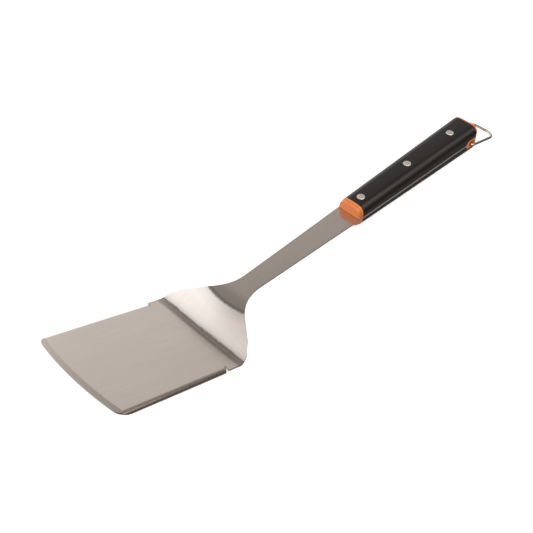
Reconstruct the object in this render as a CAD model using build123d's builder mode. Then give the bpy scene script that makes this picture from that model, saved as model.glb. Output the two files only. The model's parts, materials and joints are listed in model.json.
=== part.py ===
"""Grill spatula: pressed steel blade, crank, shank and tang, a riveted two-scale handle and a wire loop.

Millimetres. +X runs from the blade to the handle end, +Z is up. The tool lies at rest on a table (Z = 0) on
the underside of its lower bend and on the rear end of its handle, with the blade raised. The origin is the
middle of the overall length and width, on the table.
"""
from build123d import *

import os
from math import asin, atan2, cos, hypot, radians, sin, tan

# --- sheet steel ---
SHEET = 2.0                    # thickness of blade, crank, shank and tang
BLADE_WIDTH = 100.0            # outside the folded lips
BLADE_LENGTH = 133.9           # lower bend to the middle of the front edge
FRONT_BOW = 4.7                # how far the middle of the front edge stands ahead of its corners
FRONT_CORNER = 9.0             # radius of the two front corners
BLADE_RISE = 20.95             # degrees that the blade rises towards the front, against the shank
CRANK_RISE = 28.8              # degrees that the crank rises from the blade to the shank
CRANK_LENGTH = 33.95           # along the slope
BEND_RADIUS = 6.0              # inside radius of the lower bend
CREASE_RADIUS = 5.0            # inside radius of the upper crease
CREASE_BOW = 3.3               # the upper crease bows towards the blade by this much
CREASE_HALF = 22.0             # half length of the upper crease
EASE = 6.0                     # degrees that the shank already falls just before the upper crease
EASE_AT = 8.0                  # where it begins to fall, from the crease's line
EASE_RADIUS = 85.0             # inside radius of this gentle bend
CREASE_AHEAD = 1.7             # the crank's face would meet the level shank this far behind the crease

# --- folded side lips ---
LIP_DEPTH = 3.9                # from the blade's top face to the lip's lower edge
LIP_RADIUS = 3.6               # outside radius of the fold
LIP_RUN_OUT = (118.2, 126.7)   # the lip tapers away between these distances from the lower bend
NOTCH_AT = 17.1                # relief notch, from the lower bend
NOTCH_WIDTH = 1.8
NOTCH_HALF = 45.6              # half distance between the inner ends of the two notches

# --- ground front edge ---
BEVEL_WIDTH = 4.5
EDGE_THICKNESS = 1.0

# --- outline of wing, crank, neck, shank and tang, all half widths ---
WING_HALF = 50.4
WING_RADIUS = 22.0             # rounding from the wing into the crank's side
CRANK_SIDE = 52.6              # degrees between the crank's side and the shank's line, seen from above
NECK_RADIUS = 40.0
NECK_HALF = 8.96
NECK_AT = 9.75
LOFT_HALF_TOP = 26.0           # the crank is lofted a little wide, and its sides are trimmed afterwards
LOFT_HALF_LOW = 57.0

# --- handle ---
BOSS_FRONT = 157.2             # distances along the shank from the upper crease
RING_FRONT = 160.6
SCALE_FRONT = 162.6
TANG_END = 323.8
SCALE_REAR = 337.9
HANDLE_END = 340.0
FRONT_HALF = 12.87             # half width where the scales begin
REAR_HALF = 15.25              # half width where they end
UPPER_FRONT = 11.2             # height of the upper scale over the tang, front and rear
UPPER_REAR = 15.5
LOWER_FRONT = 9.75             # depth of the lower scale under the tang, front and rear
LOWER_REAR = 12.45
SCALE_CORNER = 7.6             # rounding of the scales' long edges
CROWN = 0.8                    # how far the broad face arches
BOSS_INSET = 0.7               # the boss stands this much inside the ring
EDGE_ROUND = 0.7

# --- pegs of the bolsters ---
PEG_DIAMETER = 4.0
PEG_LENGTH = 7.0
PEG_SPREAD = 6.5
PEG_HEIGHT = 5.0

# --- rivets ---
RIVET_FIRST = 173.2
RIVET_PITCH = 69.1
RIVET_NAMES = ("front", "middle", "rear")
HEAD_DIAMETER = 8.0
HEAD_THICKNESS = 1.8
HEAD_EDGE = 0.3                # bevel round each head
HEAD_RING = 5.2                # middle diameter of the fine ring pressed into each head
RING_WIDTH = 0.6
RING_DEPTH = 0.12
SLEEVE_DIAMETER = 5.6
POST_DIAMETER = 3.6
HEAD_CLEARANCE = 0.3
SHANK_CLEARANCE = 0.05

# --- rear cap and hanging loop ---
TONGUE_HALF = 5.1              # half height of the tongue between the scales
TAB_HALF = 8.0                 # half width of the tang's tab inside the cap
TAB_END = 329.5
TAB_HOLE = 4.0
POCKET_HALF = 3.0              # half height of the side pocket
POCKET_LOW = 0.6               # the pocket's middle lies this much under the tongue's middle
POCKET_FRONT = 329.0
POCKET_REAR = 337.2
POCKET_DEPTH = 2.8
PIVOT_AT = 332.5
PIVOT_LOW = 2.6                # pivot axis under the tang's top face
WIRE = 2.7
BORE_CLEARANCE = 0.05
LOOP_LENGTH = 45.0             # pivot axis to the middle of the bow
LOOP_HALF = 17.0               # half distance between the middles of the two legs
LOOP_CORNER = 11.5
LOOP_BEND = 2.8                # where each leg turns in to the bore
LOOP_TIP = 7.0                 # the wire ends stop this far from the middle
LOOP_TABLE_GAP = 0.05


def half_width(x):
    """Half width of tang and scales at distance x along the shank."""
    return FRONT_HALF + (REAR_HALF - FRONT_HALF) * (x - SCALE_FRONT) / (SCALE_REAR - SCALE_FRONT)


def upper_height(x):
    """Height of the upper scale's crown over the tang at distance x."""
    return UPPER_FRONT + (UPPER_REAR - UPPER_FRONT) * (x - SCALE_FRONT) / (SCALE_REAR - SCALE_FRONT)


def lower_depth(x):
    """Depth of the lower scale's crown under the tang at distance x."""
    return LOWER_FRONT + (LOWER_REAR - LOWER_FRONT) * (x - SCALE_FRONT) / (SCALE_REAR - SCALE_FRONT)


# --- side profile, in the shank's own plane: x along the shank, z over its top face ---
rise = radians(BLADE_RISE)
slope = radians(CRANK_RISE)
ease = radians(EASE)
bend_x = -CRANK_LENGTH * cos(slope)
bend_z = -CRANK_LENGTH * sin(slope)
half_fold = (rise + slope) / 2
lean = (slope - rise) / 2                         # lean of the fold's bisector towards the front
fold_low_x = bend_x + sin(lean) * SHEET / cos(half_fold)
fold_low_z = bend_z - cos(lean) * SHEET / cos(half_fold)
level_crease_x = CREASE_AHEAD - CREASE_BOW
heel_x = HANDLE_END - EDGE_ROUND
heel_z = -SHEET - LOWER_REAR + EDGE_ROUND

# --- rest pose: the table touches both sides of the lower bend and the heel of the handle ---
side_reach = WING_HALF * LOFT_HALF_TOP / LOFT_HALF_LOW / CREASE_HALF
side_crease_x = level_crease_x + CREASE_BOW * side_reach**2
side_slope = atan2(-bend_z, side_crease_x - bend_x)
side_fold = (rise + side_slope) / 2
side_lean = (side_slope - rise) / 2
outer_bend = BEND_RADIUS + SHEET
bend_centre_x = bend_x - sin(side_lean) * BEND_RADIUS / cos(side_fold)
bend_centre_z = bend_z + cos(side_lean) * BEND_RADIUS / cos(side_fold)
span_x = heel_x - bend_centre_x
span_z = heel_z - bend_centre_z
tilt = atan2(span_z, span_x) + asin((outer_bend - EDGE_ROUND) / hypot(span_x, span_z))


def table_x(x, z):
    """Place along the table of a point of the side profile, before centring."""
    return x * cos(tilt) + z * sin(tilt)


def table_z(x, z):
    """Height of a point of the side profile, before it is set on the table."""
    return z * cos(tilt) - x * sin(tilt)


table_level = table_z(bend_centre_x, bend_centre_z) - outer_bend
pivot_height = table_z(PIVOT_AT, -PIVOT_LOW) - table_level
loop_droop = asin((pivot_height - WIRE / 2 - LOOP_TABLE_GAP) / LOOP_LENGTH)
front_x = bend_x - BLADE_LENGTH * cos(rise) - SHEET * sin(rise)
front_z = bend_z + BLADE_LENGTH * sin(rise) - SHEET * cos(rise)
front_end = table_x(front_x, front_z)
rear_end = table_x(PIVOT_AT, -PIVOT_LOW) + LOOP_LENGTH * cos(loop_droop) + WIRE / 2
middle = (front_end + rear_end) / 2

handle_plane = Plane(
    origin=(-middle, 0, -table_level),
    x_dir=(cos(tilt), 0, -sin(tilt)),
    z_dir=(sin(tilt), 0, cos(tilt)),
)
blade_plane = Plane(
    origin=handle_plane.from_local_coords((bend_x, 0, bend_z)),
    x_dir=(-cos(rise + tilt), 0, sin(rise + tilt)),
    z_dir=(sin(rise + tilt), 0, cos(rise + tilt)),
)


def shank_level(z):
    """Plane parallel to the shank's top face, z over it; local x runs along the shank."""
    return handle_plane.offset(z)


def section_plane(x):
    """Plane across the handle at distance x: local x is sideways, local y is up."""
    return Plane(
        origin=handle_plane.from_local_coords((x, 0, 0)),
        x_dir=(0, 1, 0),
        z_dir=handle_plane.x_dir,
    )


def side_plane(y):
    """Upright plane along the handle at sideways distance y: local x along the shank, local y is up."""
    return Plane(
        origin=handle_plane.from_local_coords((0, y, 0)),
        x_dir=handle_plane.x_dir,
        z_dir=(0, -1, 0),
    )


def blade_section_plane(x):
    """Plane across the blade at distance x from the bend: local x is sideways, local y is up."""
    return Plane(
        origin=blade_plane.from_local_coords((x, 0, 0)),
        x_dir=(0, -1, 0),
        z_dir=blade_plane.x_dir,
    )


blade_side_plane = Plane(origin=blade_plane.origin, x_dir=blade_plane.x_dir, z_dir=(0, 1, 0))


# --- blade, crank, shank and tang ---
BLADE_HALF = BLADE_WIDTH / 2
FRONT_RADIUS = (BLADE_HALF**2 + FRONT_BOW**2) / (2 * FRONT_BOW)


def crease_arc(middle_x, bow):
    """Arc across the sheet that bows towards the blade by bow over the crease's own half length."""
    end_x = middle_x + bow * (LOFT_HALF_TOP / CREASE_HALF) ** 2
    return ThreePointArc((end_x, -LOFT_HALF_TOP), (middle_x, 0), (end_x, LOFT_HALF_TOP))


def build_lipped_blade():
    """Front part of the blade: a flat channel with folded side lips and a ground, bowed front edge."""
    with BuildPart() as lipped_blade:
        with BuildSketch(blade_section_plane(NOTCH_AT)):
            with BuildSketch(mode=Mode.PRIVATE) as hollow:
                with Locations((0, -SHEET)):
                    Rectangle(BLADE_WIDTH - 2 * SHEET, LIP_DEPTH, align=(Align.CENTER, Align.MAX))
                fillet(hollow.vertices().group_by(Axis.Y)[-1], LIP_RADIUS - SHEET)
            Rectangle(BLADE_WIDTH, LIP_DEPTH, align=(Align.CENTER, Align.MAX))
            fillet(vertices().group_by(Axis.Y)[-1], LIP_RADIUS)
            add(hollow.sketch, mode=Mode.SUBTRACT)
        extrude(amount=BLADE_LENGTH - NOTCH_AT)
        with BuildSketch(blade_plane.offset(SHEET)) as outline:
            with BuildLine():
                corner_x = BLADE_LENGTH - FRONT_BOW
                ThreePointArc((corner_x, -BLADE_HALF), (BLADE_LENGTH, 0), (corner_x, BLADE_HALF))
                Polyline((corner_x, BLADE_HALF), (0, BLADE_HALF), (0, -BLADE_HALF), (corner_x, -BLADE_HALF))
            make_face()
            fillet(outline.vertices().group_by(Axis.X)[-1], FRONT_CORNER)
        extrude(amount=-3 * LIP_DEPTH, mode=Mode.INTERSECT)
        with BuildSketch(blade_side_plane):
            with BuildLine():
                Polyline(
                    (0, SHEET),
                    (BLADE_LENGTH + SHEET, SHEET),
                    (BLADE_LENGTH + SHEET, -SHEET),
                    (LIP_RUN_OUT[1], -SHEET),
                    (LIP_RUN_OUT[0], -LIP_DEPTH),
                    (0, -LIP_DEPTH),
                    close=True,
                )
            make_face()
        extrude(amount=BLADE_WIDTH, both=True, mode=Mode.INTERSECT)
        fall = (SHEET - EDGE_THICKNESS) / BEVEL_WIDTH
        with BuildSketch(blade_side_plane):
            with BuildLine():
                Polyline(
                    (BLADE_LENGTH - BEVEL_WIDTH, 0),
                    (BLADE_LENGTH - BEVEL_WIDTH, SHEET),
                    (BLADE_LENGTH + SHEET, SHEET),
                    (BLADE_LENGTH + SHEET, -fall * (BEVEL_WIDTH + SHEET)),
                    close=True,
                )
            make_face()
        bow_centre = blade_plane.from_local_coords((BLADE_LENGTH - FRONT_RADIUS, 0, 0))
        revolve(axis=Axis(bow_centre, blade_plane.z_dir), mode=Mode.SUBTRACT)
    return lipped_blade.part


def middle_edge(x, z):
    """The long edge across the sheet nearest to a point of the side profile."""
    point = handle_plane.from_local_coords((x, 0, z))
    return edges().filter_by(lambda edge: edge.length > LOFT_HALF_TOP).sort_by_distance(point)[0]


def rivet_places():
    """Distances of the rivets along the shank."""
    return [RIVET_FIRST + RIVET_PITCH * number for number in range(len(RIVET_NAMES))]


def outline_points():
    """Corners of the strip's outline seen from above, before its corners are rounded."""
    wing_corner = NECK_AT - (WING_HALF - NECK_HALF) / tan(radians(CRANK_SIDE))
    one_side = [
        (bend_x - BLADE_LENGTH, WING_HALF),
        (wing_corner, WING_HALF),
        (NECK_AT, NECK_HALF),
        (SCALE_FRONT, FRONT_HALF),
        (TANG_END, half_width(TANG_END)),
        (TANG_END, TAB_HALF),
        (TAB_END, TAB_HALF),
    ]
    return one_side + [(x, -y) for x, y in reversed(one_side)]


def crease_place(level_x):
    """Where the crank's face meets the falling end of the shank, if it would meet the level shank at level_x."""
    steepness = bend_z / (bend_x - level_x)
    return (level_x * steepness - EASE_AT * tan(ease)) / (steepness - tan(ease))


crease_x = crease_place(level_crease_x)
crease_z = (crease_x - EASE_AT) * tan(ease)
crease_end_x = crease_place(level_crease_x + CREASE_BOW * (LOFT_HALF_TOP / CREASE_HALF) ** 2)
crease_end_fall = (crease_end_x - EASE_AT) * tan(ease) / bend_z
crease_end_half = LOFT_HALF_TOP + (LOFT_HALF_LOW - LOFT_HALF_TOP) * crease_end_fall
fallen_bow = (crease_end_x - crease_x) * (CREASE_HALF / crease_end_half) ** 2


def eased_line(depth):
    """Side profile of the shank at a depth under its top face, from the tang's end to beyond the crease."""
    turn_x = EASE_AT + depth * tan(ease / 2)
    return FilletPolyline(
        (TAB_END, -depth),
        (turn_x, -depth),
        (turn_x + bend_x * cos(ease), -depth + bend_x * sin(ease)),
        radius=EASE_RADIUS + SHEET - depth,
    )


def build_shank():
    """Shank and tang, with the gentle fall to the crease, before the sides are trimmed."""
    with BuildPart() as shank:
        with BuildSketch(side_plane(0)):
            with BuildLine():
                top = eased_line(0)
                low = eased_line(SHEET)
                Line(top @ 0, low @ 0)
                Line(top @ 1, low @ 1)
            make_face()
        extrude(amount=LOFT_HALF_TOP, both=True)
        with BuildSketch(shank_level(SHEET)):
            with BuildLine():
                front = crease_arc(crease_x + SHEET / 20, fallen_bow)
                Polyline(front @ 1, (TAB_END, LOFT_HALF_TOP), (TAB_END, -LOFT_HALF_TOP), front @ 0)
            make_face()
        extrude(amount=-4 * SHEET, mode=Mode.INTERSECT)
    return shank.part


def build_folded_strip():
    """Wing, crank and shank as one folded strip, with its bends rounded and its outline trimmed."""
    rear_reach = SHEET / (-SHEET - fold_low_z)
    crease_low = level_crease_x + SHEET * tan(slope / 2)
    widening = 1 + (LOFT_HALF_LOW / LOFT_HALF_TOP - 1) * SHEET / -fold_low_z
    with BuildPart() as strip:
        with BuildSketch(shank_level(0)):
            with BuildLine():
                ahead = crease_arc(level_crease_x, CREASE_BOW)
                behind = crease_arc(
                    crease_low + (crease_low - fold_low_x) * rear_reach,
                    CREASE_BOW * (1 + rear_reach) * widening**2,
                )
                Line(ahead @ 0, behind @ 0)
                Line(ahead @ 1, behind @ 1)
            make_face()
        with BuildSketch(shank_level(fold_low_z)):
            with BuildLine():
                toe_x = bend_x + (bend_x + CREASE_BOW / 2) * (bend_z - fold_low_z) / -bend_z
                Polyline(
                    (toe_x, -LOFT_HALF_LOW),
                    (toe_x, LOFT_HALF_LOW),
                    (fold_low_x, LOFT_HALF_LOW),
                    (fold_low_x, -LOFT_HALF_LOW),
                    close=True,
                )
            make_face()
        loft(ruled=True)
        with BuildSketch(blade_plane):
            with Locations((-SHEET / 3, 0)):
                Rectangle(NOTCH_AT + SHEET / 3, 2 * LOFT_HALF_LOW, align=(Align.MIN, Align.CENTER))
        extrude(amount=-SHEET)
        with BuildSketch(blade_plane.offset(-SHEET)):
            Rectangle(2 * NOTCH_AT, 3 * LOFT_HALF_LOW, align=(Align.CENTER, Align.CENTER))
        extrude(amount=-2 * SHEET, mode=Mode.SUBTRACT)
        with BuildSketch(side_plane(0)):
            with BuildLine():
                top = eased_line(0)
                Polyline(top @ 0, (TAB_END, SHEET), (2 * bend_x, SHEET), top @ 1)
            make_face()
        extrude(amount=2 * LOFT_HALF_TOP, both=True, mode=Mode.SUBTRACT)
        add(build_shank())
        fillet(middle_edge(crease_x, crease_z), CREASE_RADIUS + SHEET)
        fillet(middle_edge(crease_x + SHEET * tan(slope / 2), crease_z - SHEET), CREASE_RADIUS)
        fillet(middle_edge(bend_x, bend_z), BEND_RADIUS)
        fillet(middle_edge(fold_low_x, fold_low_z), BEND_RADIUS + SHEET)
        with BuildSketch(shank_level(SHEET)) as outline:
            with BuildLine():
                Polyline(*outline_points(), close=True)
            make_face()
            fillet(outline.vertices().group_by(Axis.X)[2], NECK_RADIUS)
            fillet(outline.vertices().group_by(Axis.X)[1], WING_RADIUS)
        extrude(amount=-4 * SHEET + bend_z, mode=Mode.INTERSECT)
        with BuildSketch(shank_level(0)):
            with Locations((TANG_END + (TAB_END - TANG_END) / 2, 0)):
                Circle(TAB_HOLE / 2)
            with Locations(*[(x, 0) for x in rivet_places()]):
                Circle(SLEEVE_DIAMETER / 2 + SHANK_CLEARANCE)
        extrude(amount=-SHEET, mode=Mode.SUBTRACT)
    return strip.part


with BuildPart() as blade_and_tang:
    add(build_folded_strip())
    add(build_lipped_blade())
    with BuildSketch(blade_plane):
        for side in (-1, 1):
            with Locations((NOTCH_AT, side * (NOTCH_HALF + LIP_DEPTH))):
                SlotOverall(2 * LIP_DEPTH, NOTCH_WIDTH, rotation=90)
    extrude(amount=2 * LIP_DEPTH, both=True, mode=Mode.SUBTRACT)


# --- handle scales and bolsters ---
def crown_sketch(x, half, base, top, corner):
    """Flat base and arched, round-cornered crown, across the handle at distance x."""
    side = 1 if top > base else -1
    shoulder = top - side * CROWN
    with BuildSketch(section_plane(x)) as crown:
        with BuildLine():
            Polyline((-half, shoulder), (-half, base), (half, base), (half, shoulder))
            ThreePointArc((half, shoulder), (0, top), (-half, shoulder))
        make_face()
        fillet(crown.vertices().filter_by(lambda point: abs(point.Y - shoulder) < CROWN / 2), corner)
    return crown.sketch


def scale_sketch(x, side, place=None):
    """Section of the upper (side 1) or lower (side -1) scale at distance x, set at x or at place."""
    base, top = (0, upper_height(x)) if side > 0 else (-SHEET, -SHEET - lower_depth(x))
    return crown_sketch(x if place is None else place, half_width(x), base, top, SCALE_CORNER)


def peg_sketch(side):
    """Two pegs side by side in the middle of a scale's front end."""
    height = PEG_HEIGHT if side > 0 else -SHEET - PEG_HEIGHT
    with BuildSketch(section_plane(SCALE_FRONT)) as pegs:
        with Locations((-PEG_SPREAD, height), (PEG_SPREAD, height)):
            Circle(PEG_DIAMETER / 2)
    return pegs.sketch


def build_tongue():
    """The rear cap's tongue: round-nosed seen from the side, as wide as the handle."""
    with BuildPart() as tongue:
        with BuildSketch(side_plane(0)):
            nose = TANG_END + TONGUE_HALF
            with Locations((nose, -SHEET / 2)):
                Circle(TONGUE_HALF)
                Rectangle(SCALE_REAR - nose, 2 * TONGUE_HALF, align=(Align.MIN, Align.CENTER))
        extrude(amount=REAR_HALF, both=True)
    return tongue.part


def build_scale(side):
    """One moulded handle half, with its rivet bores, peg sockets and the recess for the cap's tongue."""
    base = 0 if side > 0 else -SHEET
    with BuildPart() as scale:
        loft([scale_sketch(SCALE_FRONT, side), scale_sketch(SCALE_REAR, side)])
        add(build_tongue(), mode=Mode.SUBTRACT)
        with BuildSketch(shank_level(base)):
            with Locations(*[(x, 0) for x in rivet_places()]):
                Circle(SLEEVE_DIAMETER / 2 + SHANK_CLEARANCE)
        extrude(amount=side * 2 * UPPER_REAR, mode=Mode.SUBTRACT)
        for x in rivet_places():
            crown = upper_height(x) if side > 0 else lower_depth(x)
            with BuildSketch(shank_level(base + side * (crown - HEAD_THICKNESS))):
                with Locations((x, 0)):
                    Circle(HEAD_DIAMETER / 2 + HEAD_CLEARANCE)
            extrude(amount=side * 2 * HEAD_THICKNESS, mode=Mode.SUBTRACT)
        extrude(peg_sketch(side), amount=PEG_LENGTH, mode=Mode.SUBTRACT)
    return scale.part


def build_bolster(side):
    """Orange front cap of one scale: a rounded boss on a slightly wider ring, with two pegs behind."""
    base, top = (0, UPPER_FRONT) if side > 0 else (-SHEET, -SHEET - LOWER_FRONT)
    with BuildPart() as bolster:
        extrude(scale_sketch(SCALE_FRONT, side, place=RING_FRONT), amount=SCALE_FRONT - RING_FRONT)
        ring_front = bolster.faces().sort_by(handle_x)[0]
        fillet(crown_edges(ring_front, base), EDGE_ROUND)
        boss_half = FRONT_HALF - BOSS_INSET
        boss = crown_sketch(BOSS_FRONT, boss_half, base, top - side * BOSS_INSET, SCALE_CORNER - BOSS_INSET)
        extrude(boss, amount=RING_FRONT - BOSS_FRONT + EDGE_ROUND)
        boss_front = bolster.faces().sort_by(handle_x)[0]
        fillet(crown_edges(boss_front, base), EDGE_ROUND)
        extrude(peg_sketch(side), amount=PEG_LENGTH - SHANK_CLEARANCE)
    return bolster.part


def handle_x(shape):
    """Distance of a shape's centre along the shank."""
    return handle_plane.to_local_coords(shape.center()).X


def crown_edges(face, base):
    """Edges of an end face, without the straight one that lies on the tang."""
    return face.edges().filter_by(
        lambda edge: abs(handle_plane.to_local_coords(edge.center()).Z - base) > EDGE_ROUND
    )


with BuildPart() as upper_scale:
    add(build_scale(1))

with BuildPart() as lower_scale:
    add(build_scale(-1))

with BuildPart() as upper_bolster:
    add(build_bolster(1))

with BuildPart() as lower_bolster:
    add(build_bolster(-1))


# --- rear cap ---
def cap_sketch(x):
    """Whole outline of the handle at distance x, both crowns in one."""
    half = half_width(x)
    top = upper_height(x)
    bottom = -SHEET - lower_depth(x)
    with BuildSketch(section_plane(x)) as outline:
        with BuildLine():
            Line((half, bottom + CROWN), (half, top - CROWN))
            ThreePointArc((half, top - CROWN), (0, top), (-half, top - CROWN))
            Line((-half, top - CROWN), (-half, bottom + CROWN))
            ThreePointArc((-half, bottom + CROWN), (0, bottom), (half, bottom + CROWN))
        make_face()
        fillet(outline.vertices(), SCALE_CORNER)
    return outline.sketch


with BuildPart() as rear_cap:
    loft([cap_sketch(TANG_END - SHEET), cap_sketch(SCALE_REAR)])
    add(build_tongue(), mode=Mode.INTERSECT)
    extrude(cap_sketch(SCALE_REAR), amount=HANDLE_END - SCALE_REAR)
    fillet(rear_cap.faces().sort_by(handle_x)[-1].edges(), EDGE_ROUND)
    pocket_level = -SHEET / 2 - POCKET_LOW
    for side in (-1, 1):
        with BuildSketch(side_plane(side * REAR_HALF)):
            with Locations(((POCKET_FRONT + POCKET_REAR) / 2, pocket_level)):
                SlotOverall(POCKET_REAR - POCKET_FRONT, 2 * POCKET_HALF)
        extrude(amount=side * POCKET_DEPTH, mode=Mode.SUBTRACT)
        with BuildSketch(side_plane(side * REAR_HALF)):
            with Locations((PIVOT_AT, -PIVOT_LOW)):
                Circle(WIRE / 2 + BORE_CLEARANCE)
        extrude(amount=side * (REAR_HALF - LOOP_TIP + SHEET), mode=Mode.SUBTRACT)
    add(blade_and_tang.part, mode=Mode.SUBTRACT)


# --- hanging loop ---
loop_plane = Plane(
    origin=handle_plane.from_local_coords((PIVOT_AT, 0, -PIVOT_LOW)),
    x_dir=(cos(loop_droop), 0, -sin(loop_droop)),
    z_dir=(sin(loop_droop), 0, cos(loop_droop)),
)

with BuildPart() as hanging_loop:
    with BuildLine(loop_plane) as route:
        FilletPolyline(
            (0, -LOOP_TIP),
            (0, -LOOP_HALF),
            (LOOP_LENGTH, -LOOP_HALF),
            (LOOP_LENGTH, LOOP_HALF),
            (0, LOOP_HALF),
            (0, LOOP_TIP),
            radius=[LOOP_BEND, LOOP_CORNER, LOOP_CORNER, LOOP_BEND],
        )
    with BuildSketch(Plane(origin=route.line @ 0, z_dir=route.line % 0)):
        Circle(WIRE / 2)
    sweep()


# --- rivets ---
def head_sketch(x, level, side):
    """Half section of a flat rivet head with a fine pressed ring; level is the head's underside."""
    rim = HEAD_DIAMETER / 2
    ring = HEAD_RING / 2
    face = level + side * HEAD_THICKNESS
    with BuildSketch(side_plane(0)) as head:
        with BuildLine():
            Polyline(
                (x, level),
                (x + rim, level),
                (x + rim, face - side * HEAD_EDGE),
                (x + rim - HEAD_EDGE, face),
                (x + ring + RING_WIDTH / 2, face),
                (x + ring, face - side * RING_DEPTH),
                (x + ring - RING_WIDTH / 2, face),
                (x, face),
                close=True,
            )
        make_face()
    return head.sketch


def build_rivet(x):
    """The sleeve and the post of the rivet at distance x."""
    upper_seat = upper_height(x) - HEAD_THICKNESS
    lower_seat = -SHEET - lower_depth(x) + HEAD_THICKNESS
    post_end = upper_seat - SHEET
    axis = Axis(handle_plane.from_local_coords((x, 0, 0)), handle_plane.z_dir)
    with BuildPart() as sleeve:
        revolve(head_sketch(x, upper_seat, 1), axis=axis)
        with BuildSketch(shank_level(upper_seat)):
            with Locations((x, 0)):
                Circle(SLEEVE_DIAMETER / 2)
        extrude(amount=-(upper_seat - lower_seat - SHEET / 2))
        with BuildSketch(shank_level(lower_seat)):
            with Locations((x, 0)):
                Circle(POST_DIAMETER / 2 + SHANK_CLEARANCE)
        extrude(amount=post_end - lower_seat + SHEET / 2, mode=Mode.SUBTRACT)
    with BuildPart() as post:
        revolve(head_sketch(x, lower_seat, -1), axis=axis)
        with BuildSketch(shank_level(lower_seat)):
            with Locations((x, 0)):
                Circle(POST_DIAMETER / 2)
        extrude(amount=post_end - lower_seat)
    return sleeve, post


# --- hand-over: one file for each piece ---
pieces = {
    "blade_and_tang": blade_and_tang,
    "upper_scale": upper_scale,
    "lower_scale": lower_scale,
    "upper_bolster": upper_bolster,
    "lower_bolster": lower_bolster,
    "rear_cap": rear_cap,
    "hanging_loop": hanging_loop,
}
for rivet_name, rivet_x in zip(RIVET_NAMES, rivet_places()):
    rivet_sleeve, rivet_post = build_rivet(rivet_x)
    pieces[f"rivet_sleeve_{rivet_name}"] = rivet_sleeve
    pieces[f"rivet_post_{rivet_name}"] = rivet_post

os.makedirs("parts", exist_ok=True)
for piece_name, piece in pieces.items():
    piece.part.label = piece_name
    export_step(piece.part, f"parts/{piece_name}.step")
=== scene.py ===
"""Looks of the grill spatula: brushed steel, moulded plastic, polished wire, studio light and camera.

Metres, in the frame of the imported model: +X runs to the handle end, +Z is up, Z = 0 is the table.
"""

import json
import math

import bpy
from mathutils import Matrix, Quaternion, Vector


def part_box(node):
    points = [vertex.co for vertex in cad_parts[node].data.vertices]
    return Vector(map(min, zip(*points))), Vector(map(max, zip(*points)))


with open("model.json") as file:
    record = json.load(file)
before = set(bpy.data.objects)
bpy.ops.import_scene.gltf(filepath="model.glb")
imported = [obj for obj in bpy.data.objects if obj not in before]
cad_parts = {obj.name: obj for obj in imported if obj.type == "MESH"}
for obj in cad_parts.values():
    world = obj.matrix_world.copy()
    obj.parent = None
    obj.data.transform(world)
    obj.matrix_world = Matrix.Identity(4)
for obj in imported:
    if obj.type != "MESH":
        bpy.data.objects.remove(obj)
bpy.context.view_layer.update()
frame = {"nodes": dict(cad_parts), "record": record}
nodes = frame["nodes"]
mounts = {mount["name"]: mount for mount in frame["record"]["mounts"]}

MM = 0.001

# --- places on the steel, from the frame ---
BLADE_NORMAL = Vector(mounts["blade_top"]["axis"])
BLADE_RISE = math.atan2(BLADE_NORMAL.x, BLADE_NORMAL.z)  # of the blade towards the front
BLADE_POINT = Vector(mounts["blade_top"]["pos_m"])
CRANK_RISE = math.radians(28.3)  # of the crank towards the handle
BEND_HEIGHT = 1.4 * MM  # of the fold's line between blade and crank
BEND_X = BLADE_POINT.x + (BLADE_POINT.z - BEND_HEIGHT) / math.tan(BLADE_RISE)
CREASE_X = BEND_X + 28.5 * MM  # middle of the upper crease
CREASE_HALF = 22 * MM
CREASE_BOW = 3.3 * MM  # of the crease's ends towards the handle

# --- painted shade at the folds: stops of (millimetres towards the handle, amount of painted shade) ---
BEND_STOPS = [(-7, 0), (-4, 0.48), (-1.5, 0.48), (0.5, 0.16), (2.4, 0.28), (5, 0.08), (9, 0)]
CREASE_STOPS = [(-13, 0), (-7, 0.12), (-2, 0.29), (0, 0.29), (1, 0)]

# --- direction of the brushing against each stretch's own length ---
BLADE_SKEW = math.radians(1)
HANDLE_SKEW = math.radians(-2)  # of the crank and the shank

# --- colours, linear ---
STEEL_DARK = (0.618, 0.566, 0.526, 1)
STEEL_BRIGHT = (0.672, 0.622, 0.584, 1)
STEEL_CLOUD = (0.610, 0.560, 0.522, 1)
# painted shade of the steel at its folds
STEEL_PAINTED_SHADE = (0.05, 0.04, 0.035, 1)
BLACK_DARK = (0.0068, 0.0060, 0.0058, 1)
BLACK_BRIGHT = (0.0100, 0.0086, 0.0082, 1)
ORANGE_DARK = (0.68, 0.195, 0.052, 1)
ORANGE_BRIGHT = (0.73, 0.230, 0.065, 1)
# painted shade of the orange plastic in its corners
ORANGE_PAINTED_SHADE = (0.22, 0.055, 0.022, 1)
RIVET_DARK = (0.72, 0.66, 0.59, 1)
RIVET_BRIGHT = (0.84, 0.78, 0.71, 1)
WIRE_DARK = (0.43, 0.40, 0.37, 1)
WIRE_BRIGHT = (0.53, 0.50, 0.47, 1)
FLOOR_WHITE = (0.94, 0.94, 0.94, 1)
PURE_WHITE = (1, 1, 1, 1)
WARM_LIGHT = (1, 0.91, 0.825, 1)
COOL_LIGHT = (1, 1.01, 1.03, 1)
SIDE_LIGHT = (1, 0.92, 0.87, 1)

# --- floor ---
FLOOR_HALF = 40.0
FLOOR_GAP = 0.1 * MM  # below the table plane, clear of the steel

# --- camera ---
CAMERA_PLACE = Vector((-0.46158, -0.37818, 0.57786))
CAMERA_HEADING = math.radians(43.526)  # from +X towards +Y
CAMERA_DROP = math.radians(45.320)
CAMERA_ROLL = math.radians(1.627)
CAMERA_LENS = 60.77  # millimetres, as is the sensor
CAMERA_SENSOR = 36


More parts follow.
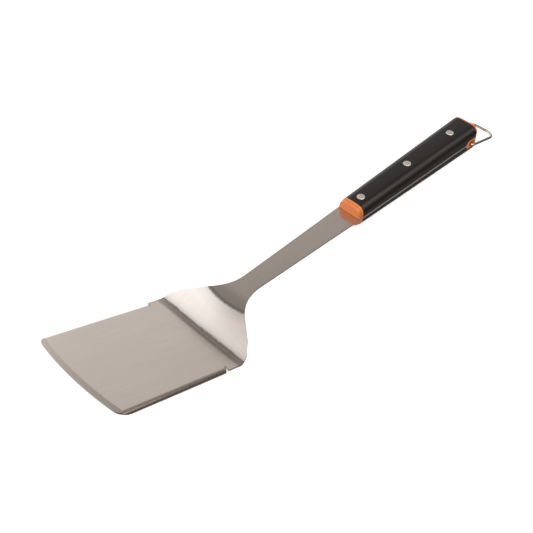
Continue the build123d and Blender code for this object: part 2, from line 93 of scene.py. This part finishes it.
def make_camera():
    """The camera of the main picture."""
    sight = Vector((
        math.cos(CAMERA_DROP) * math.cos(CAMERA_HEADING),
        math.cos(CAMERA_DROP) * math.sin(CAMERA_HEADING),
        -math.sin(CAMERA_DROP),
    ))
    data = bpy.data.cameras.new("camera")
    data.lens = CAMERA_LENS
    data.sensor_width = CAMERA_SENSOR
    camera = bpy.data.objects.new("camera", data)
    camera.rotation_mode = "QUATERNION"
    camera.location = CAMERA_PLACE
    camera.rotation_quaternion = sight.to_track_quat("-Z", "Y") @ Quaternion((0, 0, 1), CAMERA_ROLL)
    bpy.context.collection.objects.link(camera)
    bpy.context.scene.camera = camera


# --- shader helpers ---
def new_material(name):
    """An empty material; returns it with its node tree and its principled shader."""
    material = bpy.data.materials.new(name)
    material.use_nodes = True
    return material, material.node_tree, material.node_tree.nodes["Principled BSDF"]


def fill(tree, node, inputs):
    """Gives a node's inputs values or links; an input is named, or numbered as i0, i1 and so on."""
    for key, value in inputs.items():
        numbered = key[0] == "i" and key[1:].isdigit()
        socket = node.inputs[int(key[1:]) if numbered else key]
        if isinstance(value, bpy.types.NodeSocket):
            tree.links.new(value, socket)
        else:
            socket.default_value = value


def add_node(tree, kind, settings=None, **inputs):
    """A shader node, with its settings as attributes and its inputs as for fill."""
    made = tree.nodes.new("ShaderNode" + kind)
    for key, value in (settings or {}).items():
        setattr(made, key, value)
    fill(tree, made, inputs)
    return made


def place(tree):
    """The shaded point, in the frame's metres."""
    return add_node(tree, "TexCoord").outputs["Object"]


def turned(tree, vector, angle, axis="Y_AXIS"):
    """A vector turned about one axis."""
    turn = add_node(tree, "VectorRotate", {"rotation_type": axis}, Vector=vector, Angle=angle)
    return turn.outputs[0]


def stretched(tree, vector, factors):
    """A vector with each component multiplied."""
    return add_node(tree, "VectorMath", {"operation": "MULTIPLY"}, i0=vector, i1=factors).outputs[0]


def noise(tree, vector, scale=1.0, detail=2.0, roughness=0.5):
    """Noise value between 0 and 1."""
    made = add_node(tree, "TexNoise", Vector=vector, Scale=scale, Detail=detail, Roughness=roughness)
    return made.outputs["Fac"]


def ranged(tree, value, low, high, to_low, to_high, kind="LINEAR"):
    """A value mapped from one range to another, and clamped."""
    settings = {"interpolation_type": kind}
    made = add_node(tree, "MapRange", settings, i0=value, i1=low, i2=high, i3=to_low, i4=to_high)
    return made.outputs[0]


def eased(tree, value, low, high, to_low, to_high):
    """As ranged, with a soft start and end."""
    return ranged(tree, value, low, high, to_low, to_high, "SMOOTHSTEP")


def spread(tree, value, to_low=0.0, to_high=1.0):
    """Noise mapped from the span that it mostly keeps to."""
    return ranged(tree, value, 0.3, 0.7, to_low, to_high)


def stepped(tree, value, stops):
    """A number that follows stops of (millimetres, number) along a value in metres."""
    low, high = stops[0][0], stops[-1][0]
    ramp = add_node(tree, "ValToRGB", i0=ranged(tree, value, low * MM, high * MM, 0, 1))
    elements = ramp.color_ramp.elements
    for distance, _ in stops[1:-1]:
        elements.new((distance - low) / (high - low))
    for element, (_, number) in zip(elements, stops):
        element.color = (number, number, number, 1)
    return ramp.outputs[0]


def maths(tree, operation, first, second=0.0):
    """One operation on two numbers."""
    return add_node(tree, "Math", {"operation": operation}, i0=first, i1=second).outputs[0]


def product(tree, first, *others):
    """Several numbers multiplied."""
    for other in others:
        first = maths(tree, "MULTIPLY", first, other)
    return first


def mixed(tree, factor, first, second):
    """A number between two others."""
    return add_node(tree, "Mix", {"data_type": "FLOAT"}, i0=factor, i2=first, i3=second).outputs[0]


def mixed_vector(tree, factor, first, second):
    """A vector between two others."""
    return add_node(tree, "Mix", {"data_type": "VECTOR"}, i0=factor, i4=first, i5=second).outputs[1]


def tinted(tree, factor, first, second):
    """A colour between two others."""
    return add_node(tree, "Mix", {"data_type": "RGBA"}, i0=factor, i6=first, i7=second).outputs[2]


def bumped(tree, height, strength, distance):
    """A normal from a height map; distance is in metres."""
    return add_node(tree, "Bump", Height=height, Strength=strength, Distance=distance).outputs[0]


# --- materials ---
def fold_painted_shade(tree, point):
    """How much painted shade darkens the steel, 0 to 1: painted shade in the bend between blade and crank
    and along the bowed crease.
    """
    x, y, _ = add_node(tree, "SeparateXYZ", Vector=point).outputs
    at_bend = stepped(tree, maths(tree, "SUBTRACT", x, BEND_X), BEND_STOPS)
    outward = maths(tree, "DIVIDE", y, CREASE_HALF)
    bow = product(tree, maths(tree, "POWER", outward, 2.0), CREASE_BOW)
    past_crease = maths(tree, "SUBTRACT", maths(tree, "SUBTRACT", x, CREASE_X), bow)
    at_crease = stepped(tree, past_crease, CREASE_STOPS)
    return maths(tree, "ADD", at_bend, at_crease)


def brushed_steel():
    """Sheet steel brushed along its length before it was folded; the grain turns with each fold."""
    material, tree, shader = new_material("blade_steel")
    point = place(tree)
    x = add_node(tree, "SeparateXYZ", Vector=point).outputs[0]
    on_blade = ranged(tree, x, BEND_X - 6 * MM, BEND_X + 1 * MM, 1, 0)
    on_shank = ranged(tree, x, CREASE_X - 3 * MM, CREASE_X, 0, 1)

    def laid_flat(tilt, skew):
        """The point in the local plane of one stretch: x along the grain, y across it, z off the face."""
        return turned(tree, turned(tree, point, tilt), skew, "Z_AXIS")

    blade = laid_flat(-BLADE_RISE, BLADE_SKEW)
    crank = laid_flat(CRANK_RISE, HANDLE_SKEW)
    shank = laid_flat(0.0, HANDLE_SKEW)
    local = mixed_vector(tree, on_shank, mixed_vector(tree, on_blade, crank, blade), shank)
    hair = noise(tree, stretched(tree, local, (60, 5200, 5200)), detail=3, roughness=0.7)
    streak = noise(tree, stretched(tree, local, (9, 420, 420)), detail=3, roughness=0.6)
    cloud = noise(tree, stretched(tree, local, (14, 45, 45)), detail=2)

    grain = mixed(tree, 0.3, hair, streak)
    steel = tinted(tree, spread(tree, grain), STEEL_DARK, STEEL_BRIGHT)
    steel = tinted(tree, ranged(tree, cloud, 0.35, 0.65, 0, 0.5), steel, STEEL_CLOUD)
    # painted shade: the steel's colour is darkened at the bend and at the crease
    steel = tinted(tree, fold_painted_shade(tree, point), steel, STEEL_PAINTED_SHADE)
    fill(tree, shader, {
        "Base Color": steel,
        "Metallic": 1.0,
        "Roughness": spread(tree, grain, 0.28, 0.21),
        "Anisotropic": 0.3,
        "Tangent": add_node(tree, "CombineXYZ", Y=1.0).outputs[0],
        "Normal": bumped(tree, grain, 0.2, 0.01 * MM),
    })
    return material


def handle_plastic():
    """Black moulded plastic with a fine satin grain."""
    material, tree, shader = new_material("black_handle")
    point = place(tree)
    fine = noise(tree, point, 2600, detail=3, roughness=0.6)
    broad = noise(tree, stretched(tree, point, (25, 90, 90)), detail=3)
    fill(tree, shader, {
        "Base Color": tinted(tree, spread(tree, broad), BLACK_DARK, BLACK_BRIGHT),
        "IOR": 1.45,
        "Roughness": spread(tree, fine, 0.34, 0.44),
        "Normal": bumped(tree, fine, 0.25, 0.03 * MM),
    })
    return material


def orange_plastic():
    """Orange moulded plastic, smoother than the handle, with shade painted darker where its faces meet in a
    corner.
    """
    material, tree, shader = new_material("orange_bolster")
    point = place(tree)
    fine = noise(tree, point, 1800, detail=2)
    broad = noise(tree, point, 120, detail=3)
    colour = tinted(tree, spread(tree, broad), ORANGE_DARK, ORANGE_BRIGHT)
    # painted shade: the colour darkens where ambient occlusion finds faces meeting in a corner
    openness = add_node(tree, "AmbientOcclusion", {"samples": 8}, Distance=1.5 * MM).outputs["AO"]
    fill(tree, shader, {
        "Base Color": tinted(tree, ranged(tree, openness, 0.35, 0.95, 0, 1), ORANGE_PAINTED_SHADE, colour),
        "Roughness": spread(tree, fine, 0.26, 0.34),
        "Normal": bumped(tree, fine, 0.15, 0.03 * MM),
    })
    return material


def turned_steel(name, centre):
    """Rivet steel with fine rings turned about the rivet's own axis."""
    material, tree, shader = new_material(name)
    point = place(tree)
    offset = add_node(tree, "VectorMath", {"operation": "SUBTRACT"}, i0=point, i1=centre).outputs[0]
    flat = stretched(tree, offset, (1, 1, 0))
    radius = add_node(tree, "VectorMath", {"operation": "LENGTH"}, i0=flat).outputs["Value"]
    turns = add_node(tree, "CombineXYZ", X=product(tree, radius, 9000)).outputs[0]
    rings = noise(tree, turns, detail=2)
    patch = noise(tree, point, 700, detail=3)
    shade = spread(tree, mixed(tree, 0.4, rings, patch))
    fill(tree, shader, {
        "Base Color": tinted(tree, shade, RIVET_DARK, RIVET_BRIGHT),
        "Metallic": 1.0,
        "Roughness": ranged(tree, shade, 0, 1, 0.42, 0.32),
        "Normal": bumped(tree, rings, 0.25, 0.02 * MM),
    })
    return material


def polished_wire():
    """Drawn and polished wire with faint lines along it."""
    material, tree, shader = new_material("polished_wire")
    point = place(tree)
    lines = noise(tree, stretched(tree, point, (90, 2500, 2500)), detail=3)
    spots = noise(tree, point, 350, detail=3)
    shade = ranged(tree, spots, 0.35, 0.65, 0, 1)
    fill(tree, shader, {
        "Base Color": tinted(tree, shade, WIRE_DARK, WIRE_BRIGHT),
        "Metallic": 1.0,
        "Roughness": spread(tree, lines, 0.12, 0.20),
        "Normal": bumped(tree, lines, 0.1, 0.02 * MM),
    })
    return material


def dress(names, material):
    """Gives CAD nodes their material."""
    for name in names:
        nodes[name].data.materials.clear()
        nodes[name].data.materials.append(material)


dress(["blade_and_tang"], brushed_steel())
dress(["upper_scale", "lower_scale"], handle_plastic())
dress(["upper_bolster", "lower_bolster", "rear_cap"], orange_plastic())
dress(["hanging_loop"], polished_wire())
for end in ("front", "middle", "rear"):
    low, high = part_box(f"rivet_sleeve_{end}")
    dress([f"rivet_sleeve_{end}", f"rivet_post_{end}"], turned_steel(f"rivet_steel_{end}", (low + high) / 2))


# --- studio ---
def make_floor():
    """A plain pale floor under the object."""
    corners = [
        (-FLOOR_HALF, -FLOOR_HALF, 0),
        (FLOOR_HALF, -FLOOR_HALF, 0),
        (FLOOR_HALF, FLOOR_HALF, 0),
        (-FLOOR_HALF, FLOOR_HALF, 0),
    ]
    mesh = bpy.data.meshes.new("floor")
    mesh.from_pydata(corners, [], [(0, 1, 2, 3)])
    floor = bpy.data.objects.new("floor", mesh)
    floor.location.z = -FLOOR_GAP
    floor.visible_glossy = False
    floor.visible_diffuse = False
    material, tree, shader = new_material("floor_white")
    fill(tree, shader, {
        "Base Color": FLOOR_WHITE,
        "Roughness": 0.9,
        "Emission Color": PURE_WHITE,
        "Emission Strength": 0.5,
    })
    mesh.materials.append(material)
    bpy.context.collection.objects.link(floor)


# The strength of each light depends on x, y and z, the components of the unit direction that it comes from.
def room_light(tree, y, z):
    """The room: paler on the +Y side, dimmer overhead, with a little light from below."""
    room = product(
        tree,
        ranged(tree, y, -0.5, 0.8, 0.09, 0.97),
        eased(tree, z, 0.36, 0.54, 1, 0.74),
        eased(tree, z, 0.66, 0.80, 1, 0.42),
    )
    room = maths(tree, "ADD", room, ranged(tree, y, 0.60, 0.75, 0, 0.35))
    gap = product(tree, ranged(tree, z, 0.58, 0.70, 0, 0.7), ranged(tree, y, 0.08, 0.34, 1, 0))
    room = product(tree, room, maths(tree, "SUBTRACT", 1.0, gap))
    from_below = ranged(tree, z, -0.60, -0.45, 0.32, 0)
    return maths(tree, "MAXIMUM", room, from_below)


def front_panel(tree, x, y, z):
    """A large soft panel above the -X side, brighter at both ends."""
    far_end = eased(tree, y, 0.38, 0.62, 0.9, 1.75)
    near_end = ranged(tree, y, -0.8, -0.1, 0.6, 0)
    strength = maths(tree, "ADD", far_end, near_end)
    return product(tree, strength, eased(tree, x, -0.14, -0.04, 1, 0), eased(tree, z, -0.1, 0.3, 0, 1))


def side_panel(tree, x, y, z):
    """A bright soft panel above the -Y side."""
    return product(
        tree,
        eased(tree, y, -0.34, -0.16, 2.8, 0),
        eased(tree, y, -0.80, -0.66, 0, 1),
        eased(tree, z, 0.0, 0.25, 0, 1),
        eased(tree, x, 0.66, 0.73, 1, 0),
    )


def make_light():
    """Soft light from all round: the room and two large soft panels; dim light and -Y light are warmer."""
    world = bpy.data.worlds.new("studio")
    world.use_nodes = True
    tree = world.node_tree
    direction = add_node(tree, "TexCoord").outputs["Generated"]
    x, y, z = add_node(tree, "SeparateXYZ", Vector=direction).outputs

    panels = maths(tree, "MAXIMUM", front_panel(tree, x, y, z), side_panel(tree, x, y, z))
    light = maths(tree, "MAXIMUM", room_light(tree, y, z), panels)
    tone = tinted(tree, ranged(tree, light, 0.1, 1.6, 0, 1), WARM_LIGHT, COOL_LIGHT)
    tone = tinted(tree, ranged(tree, y, -0.3, 0, 1, 0), tone, SIDE_LIGHT)
    fill(tree, tree.nodes["Background"], {"Color": tone, "Strength": light})
    bpy.context.scene.world = world
    bpy.context.scene.view_settings.view_transform = "Standard"


make_camera()
make_floor()
make_light()
